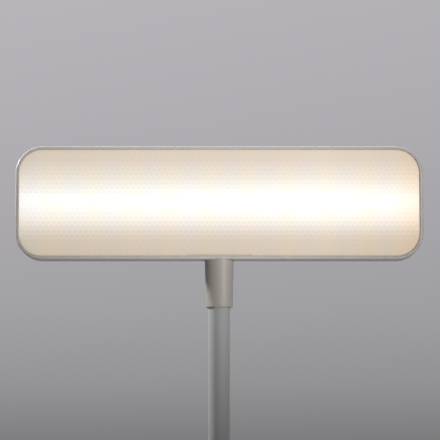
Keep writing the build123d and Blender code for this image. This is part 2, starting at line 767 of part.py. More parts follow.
def push_button(side):
    """Round cap with a dished top, a flange that keeps it under the cover, and a stem."""
    place = (side * button_x, button_y)
    stem_bottom = board_top + dome_height + button_travel + fit
    with BuildPart() as button:
        with BuildSketch(Plane.XY.offset(inside_top - 1.0)):
            with Locations(place):
                Circle(button_radius)
        extrude(amount=casing_wall + 1.0 + button_rise)
        fillet(button.faces().sort_by(Axis.Z)[-1].edges(), 0.5)
        with Locations((place[0], place[1], base_top + button_rise + button_dish - 0.7)):
            Sphere(button_dish, mode=Mode.SUBTRACT)
        with BuildSketch(Plane.XY.offset(inside_top - 1.0)):
            with Locations(place):
                Circle(button_radius + button_flange)
        extrude(amount=0.9)
        with BuildSketch(Plane.XY.offset(stem_bottom)):
            with Locations(place):
                Circle(1.5)
        extrude(amount=inside_top - 0.9 - stem_bottom)
    return button


keep("power_button", push_button(-1))
keep("tone_button", push_button(1))

with BuildPart() as charge_light:
    with BuildSketch(Plane.XY.offset(board_top + 0.3)):
        with Locations((0, button_y - light_gap)):
            Circle(light_radius)
    extrude(amount=base_top + 0.1 - board_top - 0.3)
keep("charge_light", charge_light)

# Charging socket: a steel shell with a tongue, open to the back of the tail.
port_z = board_top + 1.6
with BuildPart() as charging_port:
    with BuildSketch(Plane.XZ.offset(-half_length + 0.2)):
        with Locations((0, port_z)):
            SlotOverall(port_width, port_height)
    extrude(amount=port_length)
    with BuildSketch(Plane.XZ.offset(-half_length + 0.2)):
        with Locations((0, port_z)):
            SlotOverall(port_width - 2 * port_wall, port_height - 2 * port_wall)
    extrude(amount=port_length - 1.1, mode=Mode.SUBTRACT)
    with BuildSketch(Plane.XZ.offset(-half_length + 1.2)):
        with Locations((0, port_z)):
            Rectangle(6.65, 0.7)
    extrude(amount=5.5)
keep("charging_port", charging_port)

# ================================================================ clip: foot of the neck
with BuildPart() as base_collar:
    with BuildSketch(Plane.XZ.offset(-neck_y)):
        with BuildLine():
            Polyline(
                (0, inside_top),
                (base_tenon_radius, inside_top),
                (base_tenon_radius, base_top),
                (base_collar_foot_radius, base_top),
                (base_collar_foot_radius, base_top + 1.5),
                (base_collar_top_radius, base_collar_top),
                (0, base_collar_top),
                close=True,
            )
        make_face()
    revolve(axis=Axis((0, neck_y, 0), (0, 0, 1)))
    fillet(base_collar.faces().sort_by(Axis.Z)[-1].edges(), collar_edge)
    with BuildSketch(Plane.XY.offset(base_collar_top - sleeve_seat)):
        with Locations((0, neck_y)):
            Circle(sleeve_diameter / 2 + 3 * fit)
    extrude(amount=sleeve_seat, mode=Mode.SUBTRACT)
    with BuildSketch(Plane.XY.offset(inside_top)):
        with Locations((0, neck_y)):
            Circle(core_diameter / 2 + slip)
    extrude(amount=base_collar_height + casing_wall, mode=Mode.SUBTRACT)
keep("base_collar", base_collar)

with BuildPart() as neck_washer:
    with BuildSketch(Plane.XY.offset(inside_top - washer_thickness)):
        with Locations((0, neck_y)):
            Circle(washer_radius)
            Circle(core_diameter / 2 + fit, mode=Mode.SUBTRACT)
    extrude(amount=washer_thickness)
keep("neck_washer", neck_washer)

with BuildPart() as neck_nut:
    with BuildSketch(Plane.XY.offset(inside_top - washer_thickness - nut_height)):
        with Locations((0, neck_y)):
            RegularPolygon(nut_half_width, 6, major_radius=False)
            Circle(core_diameter / 2 + slip / 2, mode=Mode.SUBTRACT)
    extrude(amount=nut_height)
    chamfer(neck_nut.faces().sort_by(Axis.Z)[0].outer_wire().edges(), 0.5)
keep("neck_nut", neck_nut)

# ================================================================ clip: lower jaw
with BuildSketch(Plane.YZ) as jaw_profile:
    with BuildLine():
        Polyline(
            (-half_length, jaw_bottom),
            (half_length, jaw_bottom),
            (half_length, tail_thickness),
            (hinge_back, lower_relief),
            (hinge_front, lower_relief),
            (hinge_front, lower_face),
            (-half_length, lower_face),
            close=True,
        )
    make_face()

with BuildSketch(Plane.YZ) as jaw_cavity:
    add(jaw_profile.sketch_local)
    offset(amount=-casing_wall, kind=Kind.INTERSECTION, mode=Mode.REPLACE)
    with Locations((rail_y, hinge_z)):
        Circle(bulkhead, mode=Mode.SUBTRACT)

jaw_screw_y = half_length - jaw_screw_inset
jaw_screws_at = [(x, y) for x in (-jaw_screw_x, jaw_screw_x) for y in (-jaw_screw_y, jaw_screw_y)]
with BuildPart() as lower_jaw:
    add(extrude(jaw_profile.sketch, amount=half_width, both=True, mode=Mode.PRIVATE))
    upright = lower_jaw.edges().filter_by(Axis.Z).filter_by(
        lambda e: abs(abs(e.center().Y) - half_length) < 0.01
    )
    fillet(upright, casing_round)
    fillet(lower_jaw.faces().sort_by(Axis.Z)[0].edges(), 1.5)
    add(
        extrude(jaw_cavity.sketch, amount=half_width - casing_wall, both=True, mode=Mode.PRIVATE),
        mode=Mode.SUBTRACT,
    )
    # Bosses for the screws of the bottom cover.
    with BuildSketch(Plane.XY.offset(jaw_cover_top)):
        with Locations(*jaw_screws_at):
            Circle(jaw_boss)
    extrude(amount=tail_thickness - jaw_cover_top - 1)
    with BuildSketch(Plane.XY.offset(jaw_bottom)):
        RectangleRounded(
            clip_width - 2 * casing_wall, clip_length - 2 * casing_wall, casing_round - 1.5
        )
    extrude(amount=jaw_cover_thickness, mode=Mode.SUBTRACT)
    with BuildSketch(Plane.XY.offset(jaw_cover_top)):
        with Locations(*jaw_screws_at):
            Circle(jaw_screw + slip)
    extrude(amount=2.6, mode=Mode.SUBTRACT)
    for side in (-1, 1):
        with BuildSketch(Plane.YZ.offset(side * (outer_lug + lug_width / 2))):
            with Locations((hinge_y, hinge_z)):
                Circle(lug_radius)
            with Locations((hinge_y, hinge_z - relief / 2 - 0.5)):
                Rectangle(2 * lug_radius, relief + 1)
        extrude(amount=lug_width / 2, both=True)
    with BuildSketch(Plane.YZ):
        with Locations((hinge_y, hinge_z)):
            Circle(pin_radius + slip)
    extrude(amount=half_width, both=True, mode=Mode.SUBTRACT)
    with BuildSketch(Plane.YZ):
        with Locations(((pad_front + pad_back) / 2, lower_face)):
            Rectangle(pad_back - pad_front, 2 * pad_seat)
        with Locations((rail_y, hinge_z)):
            Circle(pad_outer)
    extrude(amount=half_width - pad_inset, both=True, mode=Mode.SUBTRACT)
    with BuildSketch(Plane.YZ):
        with Locations((rail_y, hinge_z)):
            Circle(rail_radius + rail_relief)
    extrude(amount=half_width, both=True, mode=Mode.SUBTRACT)
keep("lower_jaw", lower_jaw)

with BuildPart() as jaw_cover:
    with BuildSketch(Plane.XY.offset(jaw_bottom)):
        RectangleRounded(
            clip_width - 2 * casing_wall - 2 * fit,
            clip_length - 2 * casing_wall - 2 * fit,
            casing_round - 1.5 - fit,
        )
        with Locations(*jaw_screws_at):
            Circle(jaw_screw + screw_clearance, mode=Mode.SUBTRACT)
    extrude(amount=jaw_cover_thickness)
    with BuildSketch(Plane.XY.offset(jaw_bottom)):
        RectangleRounded(clip_width - 2 * casing_wall - 4, clip_length - 2 * casing_wall - 4, 3)
    extrude(amount=foot_thickness - foot_drop, mode=Mode.SUBTRACT)
keep("jaw_cover", jaw_cover)

with BuildPart() as jaw_screws:
    with BuildSketch(Plane.XY.offset(foot_thickness)):
        with Locations(*jaw_screws_at):
            Circle(jaw_screw)
    extrude(amount=jaw_cover_top + 2.5 - foot_thickness)
keep("jaw_screws", jaw_screws)

with BuildPart() as foot_pad:
    with BuildSketch(Plane.XY):
        RectangleRounded(clip_width - 2 * casing_wall - 4.2, clip_length - 2 * casing_wall - 4.2, 2.9)
    extrude(amount=foot_thickness)
    chamfer(foot_pad.faces().sort_by(Axis.Z)[0].edges(), 0.3)
keep("foot_pad", foot_pad)

# ================================================================ clip: hinge
pin_end = outer_lug + lug_width + 0.2
with BuildPart() as hinge_pin:
    with BuildSketch(Plane.YZ.offset(-pin_end)):
        with Locations((hinge_y, hinge_z)):
            Circle(pin_radius)
    extrude(amount=2 * pin_end + 0.9)
    with BuildSketch(Plane.YZ.offset(-pin_end - 0.7)):
        with Locations((hinge_y, hinge_z)):
            Circle(pin_radius + 1.3)
    extrude(amount=0.7)
    with BuildSketch(Plane.YZ.offset(pin_end)):
        with Locations((hinge_y, hinge_z)):
            Circle(pin_radius)
            Circle(pin_radius - 0.5, mode=Mode.SUBTRACT)
    extrude(amount=0.5, mode=Mode.SUBTRACT)
keep("hinge_pin", hinge_pin)

with BuildPart() as pin_clip:
    with BuildSketch(Plane.YZ.offset(pin_end + slip / 2)):
        with Locations((hinge_y, hinge_z)):
            Circle(pin_radius + 1.2)
            Circle(pin_radius - 0.45, mode=Mode.SUBTRACT)
        with Locations((hinge_y, hinge_z - pin_radius - 0.6)):
            Rectangle(2 * pin_radius - 1.2, 2 * pin_radius, mode=Mode.SUBTRACT)
    extrude(amount=0.45)
keep("pin_clip", pin_clip)

# Torsion spring: the legs press the two tails apart, and a squeeze winds the coil tighter.
tail_contact_y = half_length - 10.0
jaw_slope = (tail_thickness - lower_relief) / (half_length - hinge_back)
upper_contact_z = upper_relief + tail_slope * (tail_contact_y - slope_start) - spring_wire_radius - 0.1
lower_contact_z = lower_relief + jaw_slope * (tail_contact_y - hinge_back) + spring_wire_radius + 0.12


def leaving_angle(contact_z, side):
    """Angle round the pin, in degrees, of the point where a leg leaves the coil."""
    across = tail_contact_y - hinge_y
    rise = contact_z - hinge_z
    swing = math.degrees(math.asin(spring_radius / math.hypot(across, rise)))
    direction = math.degrees(math.atan2(rise, across)) - side * swing
    return direction + side * 90


upper_leaves = leaving_angle(upper_contact_z, 1)
lower_leaves = leaving_angle(lower_contact_z, -1)
coil_angle = 360 * spring_turns + lower_leaves - upper_leaves
coil_length = spring_pitch * coil_angle / 360
contact_reach = math.hypot(tail_contact_y - hinge_y, upper_contact_z - hinge_z)
leg_length = math.sqrt(contact_reach**2 - spring_radius**2)
with BuildPart() as torsion_spring:
    coil = Helix(spring_pitch, coil_length, spring_radius, direction=(1, 0, 0))
    coil = coil.moved(Location((-coil_length / 2, hinge_y, hinge_z)))
    first = coil @ 0
    first_angle = math.degrees(math.atan2(first.Z - hinge_z, first.Y - hinge_y))
    coil = coil.rotate(Axis((0, hinge_y, hinge_z), (1, 0, 0)), upper_leaves - first_angle)
    upper_leg = Line(coil @ 0 - (coil % 0) * leg_length, coil @ 0)
    lower_leg = Line(coil @ 1, coil @ 1 + (coil % 1) * leg_length)
    spring_path = Wire([upper_leg, coil, lower_leg])
    with BuildSketch(Plane(origin=upper_leg @ 0, z_dir=upper_leg % 0)):
        Circle(spring_wire_radius)
    sweep(path=spring_path, is_frenet=True)
keep("torsion_spring", torsion_spring)

# ================================================================ writing
if __name__ == "__main__":
    os.makedirs("parts", exist_ok=True)
    for name, piece in parts.items():
        export_step(piece, f"parts/{name}.step")
    print(len(parts), "nodes written")
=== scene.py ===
# %% [markdown]
# A clip-on reading lamp: a wide light panel on a bendable neck, which rises from a sprung clip.
# The engineering model is loaded first and stays exactly where it is. Everything after that gives
# it its looks: soft parts remade as separate meshes, the prisms of the panel, and one finish for each
# material.
# Lengths are in metres, so a millimetre has a name of its own.

# %% Load the engineering model
import json
import math

import bpy
from mathutils import Matrix, Vector

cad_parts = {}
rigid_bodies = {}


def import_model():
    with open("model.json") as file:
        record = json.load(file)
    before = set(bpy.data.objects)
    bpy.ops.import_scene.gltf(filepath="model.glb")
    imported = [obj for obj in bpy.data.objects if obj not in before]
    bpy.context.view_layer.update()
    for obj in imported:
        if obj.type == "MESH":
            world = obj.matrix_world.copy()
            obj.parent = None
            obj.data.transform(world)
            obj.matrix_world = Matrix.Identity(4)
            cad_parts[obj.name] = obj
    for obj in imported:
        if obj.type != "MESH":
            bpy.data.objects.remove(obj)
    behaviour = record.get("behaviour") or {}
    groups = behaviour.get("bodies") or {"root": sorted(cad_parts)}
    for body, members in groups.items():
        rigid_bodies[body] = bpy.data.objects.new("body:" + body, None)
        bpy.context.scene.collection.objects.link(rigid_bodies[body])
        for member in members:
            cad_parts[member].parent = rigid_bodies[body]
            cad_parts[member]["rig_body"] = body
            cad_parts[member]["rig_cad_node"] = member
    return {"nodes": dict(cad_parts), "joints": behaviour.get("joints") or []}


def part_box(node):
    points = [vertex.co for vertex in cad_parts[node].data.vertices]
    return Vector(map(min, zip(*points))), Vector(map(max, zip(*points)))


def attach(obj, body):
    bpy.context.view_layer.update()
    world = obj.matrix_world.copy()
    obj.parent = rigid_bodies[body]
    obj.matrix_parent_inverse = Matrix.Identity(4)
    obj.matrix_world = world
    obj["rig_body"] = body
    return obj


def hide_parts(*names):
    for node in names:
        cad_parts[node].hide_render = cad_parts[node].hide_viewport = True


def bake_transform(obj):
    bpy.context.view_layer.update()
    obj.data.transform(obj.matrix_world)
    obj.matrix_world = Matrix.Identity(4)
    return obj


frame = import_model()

MM = 0.001
scene = bpy.context.scene
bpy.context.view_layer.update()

# %% [markdown]
# The places that the looks need are read from the model, never typed in twice. The neck is a row of
# ball joints, and sorting its joints by height gives the pivots from the clip up to the panel.

# %% Places that the looks are built on
panel_low, panel_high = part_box("head_bezel")
sheet_low, sheet_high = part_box("diffuser")
panel_middle = (panel_low + panel_high) / 2
rim = 1.95 * MM
window_half_width = (panel_high.x - panel_low.x) / 2 - rim
window_half_height = (panel_high.z - panel_low.z) / 2 - rim
window_corner = 13.8 * MM - rim
neck_joints = sorted(
    (joint for joint in frame["joints"] if joint["name"].startswith("neck_")),
    key=lambda joint: joint["pos_m"][2],
)
pivots = [Vector(joint["pos_m"]) for joint in neck_joints]
neck_x, neck_y = pivots[0].x, pivots[0].y
print("neck joints:", len(pivots), "panel middle, mm:", round(panel_middle.z / MM, 1))

# %% [markdown]
# Three small helpers serve the whole file. The first turns a colour as a web designer writes it
# into the linear values that a shader wants. The second adds one node with its settings and its
# links. The third starts a material: a Principled shader whose plain numbers sit on its own
# sockets.

# %% Helpers for colours and nodes
def colour(code):
    """Linear RGBA of an sRGB colour such as B8B2AB."""
    parts = [int(code[place:place + 2], 16) / 255 for place in (0, 2, 4)]
    linear = [part / 12.92 if part <= 0.04045 else ((part + 0.055) / 1.055) ** 2.4 for part in parts]
    return (*linear, 1.0)


def add_node(tree, kind, inputs=None, **settings):
    """Adds a node, gives it its settings, and fills or links its inputs."""
    node = tree.nodes.new(kind)
    for name, value in settings.items():
        setattr(node, name, value)
    for place, value in (inputs or {}).items():
        if isinstance(value, bpy.types.NodeSocket):
            tree.links.new(value, node.inputs[place])
        else:
            node.inputs[place].default_value = value
    return node


def start_material(name, sockets):
    """A new material, its node tree and its Principled shader."""
    material = bpy.data.materials.new(name)
    material.use_nodes = True
    shader = material.node_tree.nodes["Principled BSDF"]
    for socket, value in sockets.items():
        shader.inputs[socket].default_value = value
    return material, material.node_tree, shader


def set_stops(ramp, stops):
    """Gives a colour ramp its stops, as (place, colour) pairs."""
    elements = ramp.color_ramp.elements
    while len(elements) > 1:
        elements.remove(elements[-1])
    elements[0].position, elements[0].color = stops[0]
    for place, tone in stops[1:]:
        elements.new(place).color = tone


def paint(material, *names):
    """Gives these objects the material, in every slot that they have."""
    for name in names:
        thing = bpy.data.objects[name]
        if not thing.material_slots:
            thing.data.materials.append(material)
        for place in thing.material_slots:
            place.material = material


# %% [markdown]
# Moulded ABS with a spark-eroded skin. The mould's tiny pits break up the reflection, so the
# plastic looks satin and soft rather than shiny. It could be one flat grey with a high roughness,
# but then it looks like card. Fine noise drives both the relief and the roughness, and a slow cloud
# of a second noise keeps large faces from being perfectly even. Real pits are about 0.1 mm, too
# fine to show from here, so they are drawn at 0.5 mm.

# %% Casing: textured ABS
def grain_pair(tree, fine, slow):
    """Object coordinates, with a fine grain and a slow cloud, both sized in metres."""
    place = add_node(tree, "ShaderNodeTexCoord").outputs["Object"]
    grain = add_node(tree, "ShaderNodeTexNoise", {"Vector": place, "Scale": 1 / fine, "Detail": 3.0})
    cloud = add_node(tree, "ShaderNodeTexNoise", {"Vector": place, "Scale": 1 / slow, "Detail": 2.0})
    return grain.outputs["Fac"], cloud.outputs["Fac"]


def textured_abs(name, light, dark, roughness):
    material, tree, shader = start_material(name, {"IOR": 1.53})
    grain, cloud = grain_pair(tree, 0.5 * MM, 45 * MM)
    tone = add_node(
        tree, "ShaderNodeMix", {0: cloud, 6: colour(dark), 7: colour(light)}, data_type="RGBA"
    )
    gloss = add_node(
        tree, "ShaderNodeMapRange", {0: grain, 3: roughness - 0.07, 4: roughness + 0.07}
    )
    relief = add_node(
        tree, "ShaderNodeBump", {"Height": grain, "Strength": 0.25, "Distance": 0.04 * MM}
    )
    tree.links.new(tone.outputs[2], shader.inputs["Base Color"])
    tree.links.new(gloss.outputs[0], shader.inputs["Roughness"])
    tree.links.new(relief.outputs[0], shader.inputs["Normal"])
    return material


casing_abs = textured_abs("textured_abs_warm_grey", "B7B1AA", "B0AAA3", 0.46)
key_abs = textured_abs("satin_abs_pale_grey", "D3CEC7", "CCC7C0", 0.38)
paint(casing_abs, "head_bezel", "head_back_shell", "base_cover", "base_chassis", "lower_jaw", "jaw_cover")
paint(key_abs, "power_button", "tone_button")
print("casing and keys are moulded ABS")

# %% [markdown]
# The two collars are turned metal with a baked satin enamel. Enamel flows before it sets, which
# leaves a very shallow waviness called orange peel, about 1.5 mm from crest to crest. A fairly high
# roughness gives the soft, long highlight that a painted tube has.

# %% Collars: satin enamel
def satin_enamel():
    material, tree, shader = start_material(
        "satin_enamel_warm_grey", {"IOR": 1.5}
    )
    peel, cloud = grain_pair(tree, 1.5 * MM, 20 * MM)
    tone = add_node(
        tree, "ShaderNodeMix", {0: cloud, 6: colour("958F88"), 7: colour("9C968F")}, data_type="RGBA"
    )
    gloss = add_node(tree, "ShaderNodeMapRange", {0: peel, 3: 0.45, 4: 0.52})
    relief = add_node(tree, "ShaderNodeBump", {"Height": peel, "Strength": 0.15, "Distance": 0.03 * MM})
    tree.links.new(tone.outputs[2], shader.inputs["Base Color"])
    tree.links.new(gloss.outputs[0], shader.inputs["Roughness"])
    tree.links.new(relief.outputs[0], shader.inputs["Normal"])
    return material


paint(satin_enamel(), "neck_collar", "base_collar")

# %% [markdown]
# Silicone rubber comes off the mould with a dull, slightly waxy skin that holds a little dust. The
# sleeve is grey and smooth. The pads are charcoal and rougher, so that they grip. Light enters
# silicone a little way before it comes back, so a small subsurface share softens its shading.

# %% Sleeve and pads: silicone
def silicone(name, light, dark, roughness, grain_size, depth, sheen):
    material, tree, shader = start_material(
        name, {"IOR": 1.41, "Subsurface Weight": 0.06, "Subsurface Scale": 1 * MM, "Sheen Weight": sheen,
               "Sheen Roughness": 0.2}
    )
    grain, cloud = grain_pair(tree, grain_size, 30 * MM)
    tone = add_node(
        tree, "ShaderNodeMix", {0: cloud, 6: colour(dark), 7: colour(light)}, data_type="RGBA"
    )
    gloss = add_node(
        tree, "ShaderNodeMapRange", {0: grain, 3: roughness - 0.08, 4: roughness + 0.08}
    )
    relief = add_node(tree, "ShaderNodeBump", {"Height": grain, "Strength": 0.3, "Distance": depth})
    tree.links.new(tone.outputs[2], shader.inputs["Base Color"])
    tree.links.new(gloss.outputs[0], shader.inputs["Roughness"])
    tree.links.new(relief.outputs[0], shader.inputs["Normal"])
    return material


sleeve_silicone = silicone("silicone_sleeve_grey", "9B9A9A", "959595", 0.62, 0.6 * MM, 0.03 * MM, 0.9)
pad_silicone = silicone("silicone_pad_charcoal", "3A3B3D", "323335", 0.68, 0.8 * MM, 0.06 * MM, 0.12)
paint(pad_silicone, "upper_pad", "lower_pad")

# %% [markdown]
# Metals keep the shader's own index of refraction, and differ in tone, in roughness and in the
# marks that their making leaves. Zinc plating is mottled. A turned link has fine rings round its
# axis, which is upright here. Drawn spring wire and rolled plate have streaks along the direction
# of working. One function stretches the same noise in the direction of the marks.

# %% Metals
def worked_metal(name, light, dark, roughness, mark_size, depth):
    """mark_size gives the marks' size along x, y and z, in metres."""
    material, tree, shader = start_material(name, {"Metallic": 1.0})
    place = add_node(tree, "ShaderNodeTexCoord").outputs["Object"]
    stretch = add_node(
        tree, "ShaderNodeMapping", {"Vector": place, "Scale": [1 / size for size in mark_size]}
    )
    marks = add_node(
        tree, "ShaderNodeTexNoise", {"Vector": stretch.outputs[0], "Scale": 1.0, "Detail": 4.0}
    ).outputs["Fac"]
    tone = add_node(tree, "ShaderNodeMix", {0: marks, 6: colour(dark), 7: colour(light)}, data_type="RGBA")
    gloss = add_node(
        tree, "ShaderNodeMapRange", {0: marks, 3: roughness + 0.08, 4: roughness - 0.08}
    )
    relief = add_node(tree, "ShaderNodeBump", {"Height": marks, "Strength": 0.3, "Distance": depth})
    tree.links.new(tone.outputs[2], shader.inputs["Base Color"])
    tree.links.new(gloss.outputs[0], shader.inputs["Roughness"])
    tree.links.new(relief.outputs[0], shader.inputs["Normal"])
    return material


def even(size):
    """The same size along x, y and z."""
    return (size, size, size)


zinc = worked_metal("zinc_plated_steel", "D2D4D6", "B9BCC0", 0.3, even(0.9 * MM), 0.01 * MM)
turned = worked_metal(
    "turned_core_steel", "A2A3A6", "86878B", 0.34, (6 * MM, 6 * MM, 0.3 * MM), 0.02 * MM
)
drawn = worked_metal(
    "drawn_spring_steel", "85878B", "6B6D71", 0.32, (0.25 * MM, 2 * MM, 2 * MM), 0.01 * MM
)
rolled = worked_metal(
    "rolled_aluminium", "D5D7D9", "C0C2C5", 0.36, (25 * MM, 1 * MM, 0.4 * MM), 0.01 * MM
)
nickel = worked_metal("nickel_plated_steel", "D3D0C9", "BDBAB3", 0.24, even(0.6 * MM), 0.005 * MM)
laminate = worked_metal("crinkled_cell_laminate", "CFD1D4", "B4B7BB", 0.38, even(5 * MM), 0.15 * MM)
paint(
    zinc, "cover_screws", "board_screws", "jaw_screws", "head_screws", "collar_clip",
    "collar_grub_screw", "neck_washer", "neck_nut", "hinge_pin", "pin_clip", "dome_switches",
)
core_names = sorted(name for name in frame["nodes"] if name.startswith("core_"))
paint(turned, *core_names)
paint(rolled, "heat_spreader")
paint(nickel, "charging_port")
paint(laminate, "battery")
print("steel core pieces:", len(core_names))

# %% [markdown]
# Inside the clip and the panel sit two printed boards. A board's solder mask is a thin glossy
# paint, and the copper tracks under it show as slightly raised lines of a lighter tone. A brick
# pattern gives long, regular tracks with breaks in them, which is what a simple board looks like.

# %% Boards: solder mask over copper tracks
def solder_mask(name, mask, track, plane_turn):
    material, tree, shader = start_material(name, {"IOR": 1.55, "Roughness": 0.28})
    place = add_node(tree, "ShaderNodeTexCoord").outputs["Object"]
    turned_place = add_node(tree, "ShaderNodeMapping", {"Vector": place, "Rotation": plane_turn})
    tracks = add_node(
        tree, "ShaderNodeTexBrick",
        {
            "Vector": turned_place.outputs[0], "Color1": colour(mask), "Color2": colour(mask),
            "Mortar": colour(track), "Scale": 1.0, "Brick Width": 9 * MM, "Row Height": 2.2 * MM,
            "Mortar Size": 0.25 * MM,
        },
    )
    relief = add_node(
        tree, "ShaderNodeBump", {"Height": tracks.outputs["Fac"], "Strength": 0.4, "Distance": 0.04 * MM}
    )
    tree.links.new(tracks.outputs["Color"], shader.inputs["Base Color"])
    tree.links.new(relief.outputs[0], shader.inputs["Normal"])
    return material


paint(solder_mask("green_solder_mask", "11502F", "1D6B40", (0, 0, 0)), "control_board")
paint(solder_mask("white_solder_mask", "E8EAE7", "D6D9D4", (math.pi / 2, 0, 0)), "led_board")

# %% [markdown]
# A white light source is a blue chip under a layer of yellow phosphor, in a small white package.
# The cool ones are pale yellow and the warm ones are nearly orange. The sources stand in a row with
# an even pitch, so a distance from the nearest one, worked out with a ping-pong of x, paints a
# round phosphor on each without knowing how many there are.

# %% Light sources: phosphor in a white package
def phosphor_package(name, phosphor, first_x, spacing):
    material, tree, shader = start_material(name, {"IOR": 1.45, "Roughness": 0.35})
    place = add_node(tree, "ShaderNodeTexCoord").outputs["Object"]
    axes = add_node(tree, "ShaderNodeSeparateXYZ", {0: place})
    from_first = add_node(tree, "ShaderNodeMath", {0: axes.outputs[0], 1: first_x}, operation="SUBTRACT")
    across = add_node(
        tree, "ShaderNodeMath", {0: from_first.outputs[0], 1: spacing / 2}, operation="PINGPONG"
    )
    up = add_node(tree, "ShaderNodeMath", {0: axes.outputs[2], 1: panel_middle.z}, operation="SUBTRACT")
    offset = add_node(tree, "ShaderNodeCombineXYZ", {0: across.outputs[0], 1: up.outputs[0]})
    distance = add_node(tree, "ShaderNodeVectorMath", {0: offset.outputs[0]}, operation="LENGTH")
    disc = add_node(
        tree, "ShaderNodeMapRange", {0: distance.outputs["Value"], 1: 1.0 * MM, 2: 1.2 * MM, 3: 1.0, 4: 0.0}
    )
    tone = add_node(
        tree, "ShaderNodeMix", {0: disc.outputs[0], 6: colour("EFEFEC"), 7: colour(phosphor)},
        data_type="RGBA",
    )
    tree.links.new(tone.outputs[2], shader.inputs["Base Color"])
    return material


cool_low, cool_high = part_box("leds_cool")
warm_low, warm_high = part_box("leds_warm")
source_half = 1.75 * MM
first_cool = cool_low.x + source_half
first_warm = warm_low.x + source_half
source_pitch = first_warm - first_cool
paint(phosphor_package("cool_phosphor", "F2E9A0", first_cool, 2 * source_pitch), "leds_cool")
paint(phosphor_package("warm_phosphor", "F3C268", first_warm, 2 * source_pitch), "leds_warm")
print("light sources stand", round(source_pitch / MM, 1), "mm apart")

# %% [markdown]
# The remaining small finishes: a glossy white reflector with faint flow lines from its mould, black
# PVC round the wires with streaks along its length, and a clear light pipe.

# %% Reflector, insulation and light pipe
def streaked_plastic(name, light, dark, roughness, mark_size, sockets):
    material, tree, shader = start_material(name, sockets)
    place = add_node(tree, "ShaderNodeTexCoord").outputs["Object"]
    stretch = add_node(
        tree, "ShaderNodeMapping", {"Vector": place, "Scale": [1 / size for size in mark_size]}
    )
    marks = add_node(
        tree, "ShaderNodeTexNoise", {"Vector": stretch.outputs[0], "Scale": 1.0, "Detail": 2.0}
    ).outputs["Fac"]
    tone = add_node(tree, "ShaderNodeMix", {0: marks, 6: colour(dark), 7: colour(light)}, data_type="RGBA")
    gloss = add_node(
        tree, "ShaderNodeMapRange", {0: marks, 3: roughness - 0.04, 4: roughness + 0.04}
    )
    tree.links.new(tone.outputs[2], shader.inputs["Base Color"])
    tree.links.new(gloss.outputs[0], shader.inputs["Roughness"])
    return material


reflector = streaked_plastic(
    "glossy_white_reflector", "F4F4F2", "ECECEA", 0.16, (30 * MM, 8 * MM, 5 * MM), {"IOR": 1.58}
)
insulation = streaked_plastic(
    "black_pvc_insulation", "26272A", "1B1C1E", 0.42, (0.4 * MM, 0.4 * MM, 12 * MM), {"IOR": 1.53}
)
light_pipe = streaked_plastic(
    "clear_acrylic", "F5F8F8", "EAF0F0", 0.1, even(2 * MM), {"IOR": 1.49, "Transmission Weight": 0.85}
)
paint(reflector, "reflector_tray")
paint(insulation, "head_leads")
paint(light_pipe, "charge_light")

# %% [markdown]
# The lit panel. Behind the sheet a single row of cool and warm sources makes a bright band along
# the middle, which fades to beige above and below, a little faster below. Rendering the sources
# through thousands of prisms would be slow and noisy, so the sheet itself gives the light out: a
# ramp across its height, a gentle change of tone along its length with the pitch of the sources,
# and a warmer right end. Each prism shows one small part of the band, so the light is read at the
# middle of its prism, and the band's edges come out scalloped.

# %% Prism sheet: light that follows the height of the sheet
def lit_sheet(name, place_of, glow):
    """place_of adds the node that gives the point where the light is read."""
    material, tree, shader = start_material(
        name, {"Base Color": colour("504F4C"), "Roughness": 0.3, "IOR": 1.49}
    )
    axes = add_node(tree, "ShaderNodeSeparateXYZ", {0: place_of(tree)})
    height = add_node(
        tree, "ShaderNodeMapRange",
        {0: axes.outputs[2], 1: panel_middle.z - window_half_height, 2: panel_middle.z + window_half_height},
    )
    band = add_node(tree, "ShaderNodeValToRGB", {0: height.outputs[0]})
    set_stops(band, band_stops)
    turn = add_node(
        tree, "ShaderNodeMath", {0: axes.outputs[0], 1: first_cool}, operation="SUBTRACT"
    )
    angle = add_node(
        tree, "ShaderNodeMath", {0: turn.outputs[0], 1: math.pi / source_pitch}, operation="MULTIPLY"
    )
    beat = add_node(tree, "ShaderNodeMath", {0: angle.outputs[0]}, operation="COSINE")
    share = add_node(tree, "ShaderNodeMapRange", {0: beat.outputs[0], 1: -1.0, 2: 1.0})
    pair = add_node(
        tree, "ShaderNodeMix", {0: share.outputs[0], 6: colour("FFFDF8"), 7: colour("FBFCFE")},
        data_type="RGBA",
    )
    along = add_node(
        tree, "ShaderNodeMapRange",
        {0: axes.outputs[0], 1: panel_middle.x - window_half_width, 2: panel_middle.x + window_half_width},
    )
    ends = add_node(tree, "ShaderNodeValToRGB", {0: along.outputs[0]})
    set_stops(ends, end_stops)
    tinted = add_node(
        tree, "ShaderNodeMix", {0: 1.0, 6: band.outputs[0], 7: pair.outputs[2]},
        data_type="RGBA", blend_type="MULTIPLY",
    )
    light = add_node(
        tree, "ShaderNodeMix", {0: 1.0, 6: tinted.outputs[2], 7: ends.outputs[0]},
        data_type="RGBA", blend_type="MULTIPLY",
    )
    tree.links.new(light.outputs[2], shader.inputs["Emission Color"])
    shader.inputs["Emission Strength"].default_value = glow
    return material


